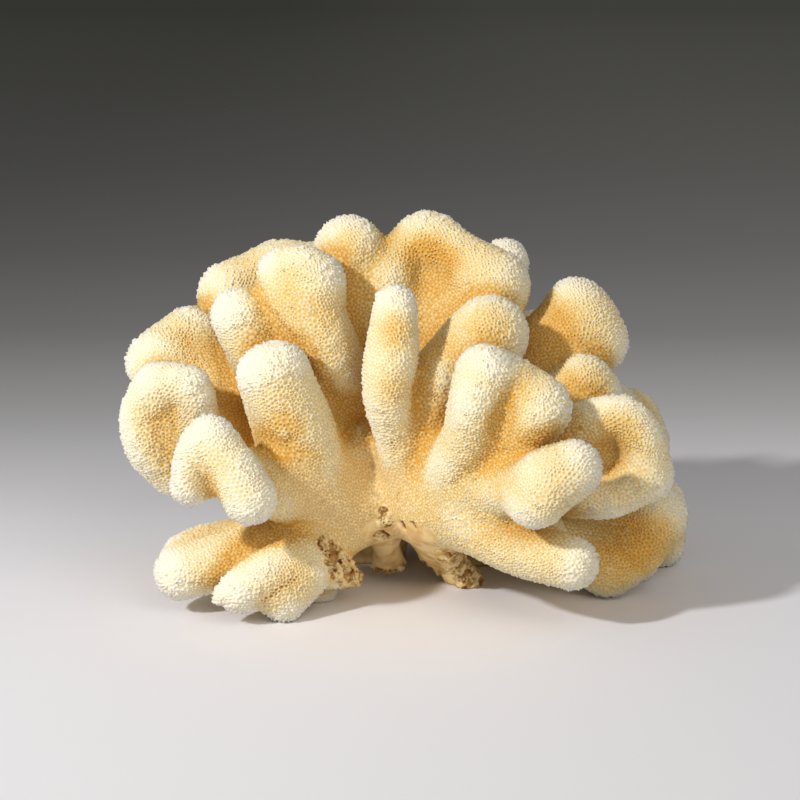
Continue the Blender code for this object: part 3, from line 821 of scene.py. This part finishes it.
def skin(net, ground, colony, low, labels):
    """The skin's corners, its triangles, the cup of each triangle, and the values that colour it."""
    points, faces, start = net.points, net.faces, net.start
    normals = unit(slope(colony, low, points))
    chance = np.random.default_rng(SEED)

    openness = open_share(colony, low, points, normals)
    ways = growth(points, labels)
    grown = step_between(*GROWN_RANGE, np.linalg.norm(points - CORE, axis=1))
    grown = grown * (1.0 - FUR_SHARE * inside(points, FURRY, FUR_FADE))
    tip = step_between(*TIP_BULGE, bulge(colony, low, points, SHARP_SPREAD))
    tone_and_painted_light = BULGE_TONE * step_between(*TONE_BULGE, bulge(colony, low, points, BROAD_SPREAD))
    # painted shade: the tone drops towards golden where something stands in front of the skin
    tone_and_painted_light = tone_and_painted_light + TIP_TONE * tip + PAINTED_SHADE_BY_OPENNESS * step_between(*PAINTED_SHADE_OPEN_RANGE, openness)
    # painted light and painted shade from the balls: paler where the skin is lit, more golden where shade
    # falls
    tone_and_painted_light = tone_and_painted_light + PAINTED_LIGHT_SHIFT * inside(points, PAINTED_LIGHT_BALLS, TONE_FADE) - PAINTED_SHADE_GOLDEN_SHIFT * inside(points, GOLDEN_AND_PAINTED_SHADE, TONE_FADE)
    tone_and_painted_light = np.clip(tone_and_painted_light, 0.0, 1.0)

    # each face of the net is a corner between three cups
    corners = points[faces].mean(axis=1)
    corner_normals = unit(normals[faces].sum(axis=1))
    corners -= corner_normals * read(colony, low, corners)[:, None]
    bare, corner_bare = bare_share(points), bare_share(corners)
    broken, corner_broken = (inside(places, BROKEN, CRUMB_FADE) for places in (points, corners))
    seam, corner_seam = seam_share(points), seam_share(corners)
    grit, corner_grit = (crumble(places, np.random.default_rng(SEED)) for places in (points, corners))
    hole, corner_hole = (inside(places, HOLES, HOLE_FADE) for places in (points, corners))
    speck, corner_speck = (inside(places, SPECKS, SPECK_FADE) for places in (points, corners))
    corner_tip, corner_grown = tip[faces].mean(axis=1), grown[faces].mean(axis=1)
    on_ground = ground[faces].any(axis=1)

    # every cup lifts the two corners that lie nearest its finger's tip
    toward = ways - normals * dot(ways, normals)[:, None]
    toward = unit(toward + chance.normal(0.0, WAY_SCATTER, points.shape))
    hood, second = teeth(net, corners, toward)
    tall = TOOTH_HEIGHTS[0] + TOOTH_HEIGHTS[1] * corner_grown + TIP_TOOTH * corner_tip
    lower = SECOND_HEIGHTS[0] + SECOND_HEIGHTS[1] * corner_grown
    uneven = np.clip(1.0 + TOOTH_SCATTER * chance.normal(size=len(faces)), LEAST_TOOTH, MOST_TOOTH)
    lift = (RIM_HEIGHT + tall * hood + lower * second) * uneven * (1.0 - corner_bare)
    lift += corner_broken * corner_grit - SEAM_HEIGHT * corner_seam - HOLE_DEPTH * corner_hole
    lift[on_ground] = 0.0
    tips = corners + corner_normals * lift[:, None]
    lean = (TOOTH_LEAN - TIP_LEAN * corner_tip) * hood * (1.0 - corner_bare) * ~on_ground
    tips += unit(ways[faces].mean(axis=1)) * lean[:, None]

    depth = PIT_DEPTHS[0] + PIT_DEPTHS[1] * grown * (1.0 - PALE_PIT * tone_and_painted_light)
    depth = depth * (1.0 + PIT_SCATTER * chance.normal(size=len(points))) * (1.0 - bare)
    depth = depth + SEAM_DEPTH * seam - broken * grit + HOLE_DEPTH * hole
    depth[ground] = 0.0
    pits = points - normals * depth[:, None]

    # the cups that stand in the open get a round mouth
    ringed_count = max(MOST_TRIANGLES - faces.size, 0) // MOUTH_TRIANGLES
    ringed = np.zeros(len(points), bool)
    ringed[np.argsort(MOUTH_BARE * bare - openness - MOUTH_GROWN * grown)[:ringed_count]] = True
    mouths = (1.0 - MOUTH_WIDTH) * points[start] + MOUTH_WIDTH * corners[np.arange(faces.size) // 3]
    mouths = mouths - normals[start] * (MOUTH_DEPTH * depth[start])[:, None]
    places = np.concatenate([pits, tips, mouths])
    places[:, 2] = np.maximum(places[:, 2], 0.0)
    triangles, owner = fans(net, ringed)

    # the teeth's pale colour, partly painted highlight
    tooth = (hood + SECOND_TOOTH_HIGHLIGHT * second) * (1.0 - corner_bare)
    values = {
        # the pit value is where the pits' painted shade shows
        "pit": (1.0 - bare, np.zeros(len(faces)), MOUTH_PIT_SHADE * (1.0 - bare[start])),
        "tooth": (np.zeros(len(points)), tooth, np.zeros(faces.size)),
        "tone_and_painted_light": (tone_and_painted_light, tone_and_painted_light[faces].mean(axis=1), tone_and_painted_light[start]),
        "grown": (grown, corner_grown, grown[start]),
        "bare": (bare, corner_bare, bare[start]),
        "broken": (broken, corner_broken, broken[start]),
        "grit": (grit, corner_grit, grit[start]),
        "hole": (hole, corner_hole, hole[start]),
        "speck": (speck, corner_speck, speck[start]),
        "seam": (seam, CORNER_SEAM_SHADE * corner_seam, MOUTH_SEAM_SHADE * seam[start]),
    }
    values = {label: np.concatenate(parts).astype(np.float32) for label, parts in values.items()}
    return places, triangles, owner, values


def make_piece(name, spots, triangles, material):
    mesh = bpy.data.meshes.new(name)
    mesh.vertices.add(len(spots))
    mesh.vertices.foreach_set("co", spots.astype(np.float32).ravel())
    mesh.loops.add(triangles.size)
    mesh.loops.foreach_set("vertex_index", triangles.astype(np.int32).ravel())
    mesh.polygons.add(len(triangles))
    mesh.polygons.foreach_set("loop_start", np.arange(0, triangles.size, 3, dtype=np.int32))
    mesh.polygons.foreach_set("use_smooth", np.ones(len(triangles), bool))
    mesh.update(calc_edges=True)
    mesh.materials.append(material)
    piece = bpy.data.objects.new(name, mesh)
    bpy.context.scene.collection.objects.link(piece)
    return piece


class Material:
    """A material with a few helpers for its nodes."""

    def __init__(self, name, roughness, specular):
        self.material = bpy.data.materials.new(name)
        self.material.use_nodes = True
        self.nodes, self.wires = self.material.node_tree.nodes, self.material.node_tree.links
        self.shader = self.nodes["Principled BSDF"]
        self.shader.inputs["Roughness"].default_value = roughness
        self.shader.inputs["Specular IOR Level"].default_value = specular

    def attribute(self, name):
        node = self.nodes.new("ShaderNodeAttribute")
        node.attribute_name = name
        return node.outputs["Fac"]

    def ramp(self, value, stops):
        node = self.nodes.new("ShaderNodeValToRGB")
        self.wires.new(value, node.inputs["Fac"])
        elements = node.color_ramp.elements
        while len(elements) < len(stops):
            elements.new(0.5)
        for element, (position, colour) in zip(elements, stops):
            element.position = position
            element.color = (*colour, 1.0)
        return node.outputs["Color"]

    def fade(self, value, low, high):
        return self.ramp(value, [(low, (0, 0, 0)), (high, (1, 1, 1))])

    def mix(self, share, first, second, blend="MIX"):
        node = self.nodes.new("ShaderNodeMix")
        node.data_type, node.blend_type = "RGBA", blend
        if isinstance(share, float):
            node.inputs["Factor"].default_value = share
        else:
            self.wires.new(share, node.inputs["Factor"])
        for socket, colour in (("A", first), ("B", second)):
            if isinstance(colour, tuple):
                node.inputs[socket].default_value = (*colour, 1.0)
            else:
                self.wires.new(colour, node.inputs[socket])
        return node.outputs["Result"]

    def span(self, value, old, new, kind="LINEAR"):
        """The value, moved from one range to another."""
        node = self.nodes.new("ShaderNodeMapRange")
        node.interpolation_type = kind
        self.wires.new(value, node.inputs["Value"])
        for label, number in zip(("From Min", "From Max", "To Min", "To Max"), (*old, *new)):
            node.inputs[label].default_value = number
        return node.outputs["Result"]

    def scale(self, colour, value):
        node = self.nodes.new("ShaderNodeVectorMath")
        node.operation = "SCALE"
        self.wires.new(colour, node.inputs[0])
        self.wires.new(value, node.inputs["Scale"])
        return node.outputs["Vector"]

    def place(self):
        return self.nodes.new("ShaderNodeTexCoord").outputs["Object"]

    def noise(self, scale, detail=3.0):
        node = self.nodes.new("ShaderNodeTexNoise")
        self.wires.new(self.place(), node.inputs["Vector"])
        node.inputs["Scale"].default_value = scale
        node.inputs["Detail"].default_value = detail
        return node.outputs["Fac"]

    def bump(self, height, strength, distance):
        node = self.nodes.new("ShaderNodeBump")
        node.inputs["Strength"].default_value = strength
        node.inputs["Distance"].default_value = distance
        self.wires.new(height, node.inputs["Height"])
        self.wires.new(node.outputs["Normal"], self.shader.inputs["Normal"])


def coral_material():
    coral = Material("coral", roughness=0.8, specular=0.3)
    tone_and_painted_light, pit, tooth = (coral.attribute(name) for name in ("tone_and_painted_light", "pit", "tooth"))
    rim, pit_shade_colour, pale = (coral.ramp(tone_and_painted_light, colours) for colours in (RIM_COLOURS, PIT_PAINTED_SHADE_COLOURS, TOOTH_PALE_AND_HIGHLIGHT_COLOURS))
    # the teeth's pale colour, partly painted highlight
    colour = coral.mix(coral.fade(tooth, *TOOTH_HIGHLIGHT_SHOWS), rim, pale)
    # painted shade: the pits take their darker colour
    colour = coral.mix(coral.fade(pit, *PIT_SHADE_SHOWS), colour, pit_shade_colour)
    # the stems near the base: golden tan darkened as painted shade, with the pits' painted shade and the
    # teeth's pale colour
    stem = coral.mix(coral.fade(pit, *STEM_PIT_SHADE_SHOWS), STEM_TAN_AND_SHADE, STEM_PIT_SHADE)
    stem = coral.mix(coral.fade(tooth, *STEM_TOOTH_HIGHLIGHT_SHOWS), stem, STEM_TOOTH_PALE_AND_HIGHLIGHT)
    colour = coral.mix(coral.fade(coral.attribute("grown"), *STEM_ENDS), stem, colour)

    smooth = coral.ramp(coral.noise(BARE_GRAIN), BARE_COLOURS)
    crumbs = coral.ramp(coral.noise(CRUMB_GRAIN), CRUMB_COLOURS)
    # painted shade in the dents of the broken parts
    painted_dent_shade = coral.ramp(coral.attribute("grit"), DENT_PAINTED_SHADE)
    crumbs = coral.mix(1.0, crumbs, painted_dent_shade, "MULTIPLY")
    # seams and holes are painted dark as shade; specks are the skeleton's own red spots
    covers = [
        ("seam", 0.8, SEAM_PAINTED_SHADE),
        ("bare", 0.8, smooth),
        ("broken", 0.7, crumbs),
        ("hole", 0.7, HOLE_PAINTED_SHADE),
        ("speck", 0.6, SPECK_COLOUR),
    ]
    for label, full, cover in covers:
        colour = coral.mix(coral.fade(coral.attribute(label), COVER_STARTS, full), colour, cover)
    coral.wires.new(colour, coral.shader.inputs["Base Color"])
    coral.bump(coral.noise(FINE_GRAIN), FINE_STRENGTH, FINE_HEIGHT)
    return coral.material


def add_floor(scene):
    """A pale floor whose colour paints the lights' falloff: it darkens to the back and, behind the coral,
    is lighter on the right as painted light.
    """
    mesh = bpy.data.meshes.new("floor")
    corners = ((-1, -1), (1, -1), (1, 1), (-1, 1))
    mesh.from_pydata([(x * FLOOR_SIZE, y * FLOOR_SIZE, 0) for x, y in corners], [], [(0, 1, 2, 3)])
    floor = bpy.data.objects.new("floor", mesh)
    scene.collection.objects.link(floor)
    paper = Material("floor", roughness=0.9, specular=0.1)
    split = paper.nodes.new("ShaderNodeSeparateXYZ")
    paper.wires.new(paper.place(), split.inputs[0])
    # the floor's greys paint the lights' falloff towards the back
    back = paper.span(split.outputs["Y"], (FLOOR_NEAR, FLOOR_FAR), (0.0, 1.0))
    span = FLOOR_FAR - FLOOR_NEAR
    stops = []
    for place, grey, cool in FLOOR_PAINTED_FALLOFF:
        blue = grey * (FLOOR_BLUE + FLOOR_COOLER * cool)
        stops.append(((place - FLOOR_NEAR) / span, (grey, grey * FLOOR_GREEN, blue)))
    aside = paper.span(split.outputs["X"], (-PAINTED_SIDE_LIGHT_REACH, PAINTED_SIDE_LIGHT_REACH),
                       (-PAINTED_SIDE_LIGHT_SHARE, PAINTED_SIDE_LIGHT_SHARE), "SMOOTHSTEP")
    away = paper.span(split.outputs["Y"], (0.0, PAINTED_SIDE_LIGHT_DEPTH), (0.0, 1.0))
    # painted side light: behind the coral the floor is painted lighter on the right
    painted_side_light = paper.nodes.new("ShaderNodeMath")
    painted_side_light.operation = "MULTIPLY_ADD"
    paper.wires.new(aside, painted_side_light.inputs[0])
    paper.wires.new(away, painted_side_light.inputs[1])
    painted_side_light.inputs[2].default_value = 1.0
    colour = paper.scale(paper.ramp(back, stops), painted_side_light.outputs["Value"])
    paper.wires.new(colour, paper.shader.inputs["Base Color"])
    mesh.materials.append(paper.material)


def add_lights(scene):
    world = bpy.data.worlds.new("studio")
    scene.world = world
    world.use_nodes = True
    background = world.node_tree.nodes["Background"]
    background.inputs["Color"].default_value = (1.0, 1.0, 1.0, 1.0)
    background.inputs["Strength"].default_value = WORLD_STRENGTH
    for name, place, size, power, light_colour in LIGHTS:
        light = bpy.data.lights.new(name, "AREA")
        light.energy, light.size, light.color = power, size, light_colour
        lamp = bpy.data.objects.new(name, light)
        lamp.location = place
        lamp.rotation_euler = (Vector(LIGHT_AIM) - Vector(place)).to_track_quat("-Z", "Y").to_euler()
        scene.collection.objects.link(lamp)


def add_camera(scene):
    camera = bpy.data.cameras.new("camera")
    camera.sensor_width, camera.lens = CAMERA_SENSOR, CAMERA_LENS
    eye = bpy.data.objects.new("camera", camera)
    aim = (CAMERA_AIM - MIDDLE) * MM
    tilt = math.radians(CAMERA_TILT)
    eye.location = aim + CAMERA_DISTANCE * np.array((0.0, -math.cos(tilt), math.sin(tilt)))
    eye.rotation_euler = (math.pi / 2.0 - tilt, 0.0, 0.0)
    scene.collection.objects.link(eye)
    scene.camera = eye
    scene.view_settings.view_transform = "Standard"


def main():
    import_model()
    axes = grid_axes()
    low = np.array([axis[0] for axis in axes])
    distances = np.stack([paw_field(axes, fingers) for fingers in PAWS.values()])
    colony = colony_field(axes, distances)
    net, ground = cup_net(colony, low)
    labels = np.argmin(np.stack([read(distance, low, net.points) for distance in distances]), axis=0)
    places, triangles, owner, values = skin(net, ground, colony, low, labels)

    coral = coral_material()
    for number, name in enumerate(PAWS):
        used, local = np.unique(triangles[labels[owner] == number], return_inverse=True)
        piece = make_piece("skin_" + name, (places[used] - MIDDLE) * MM, local.reshape(-1, 3), coral)
        for label, numbers in values.items():
            piece.data.attributes.new(label, "FLOAT", "POINT").data.foreach_set("value", numbers[used])
        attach(piece, "root")
        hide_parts(name)

    scene = bpy.context.scene
    add_floor(scene)
    add_lights(scene)
    add_camera(scene)


main()
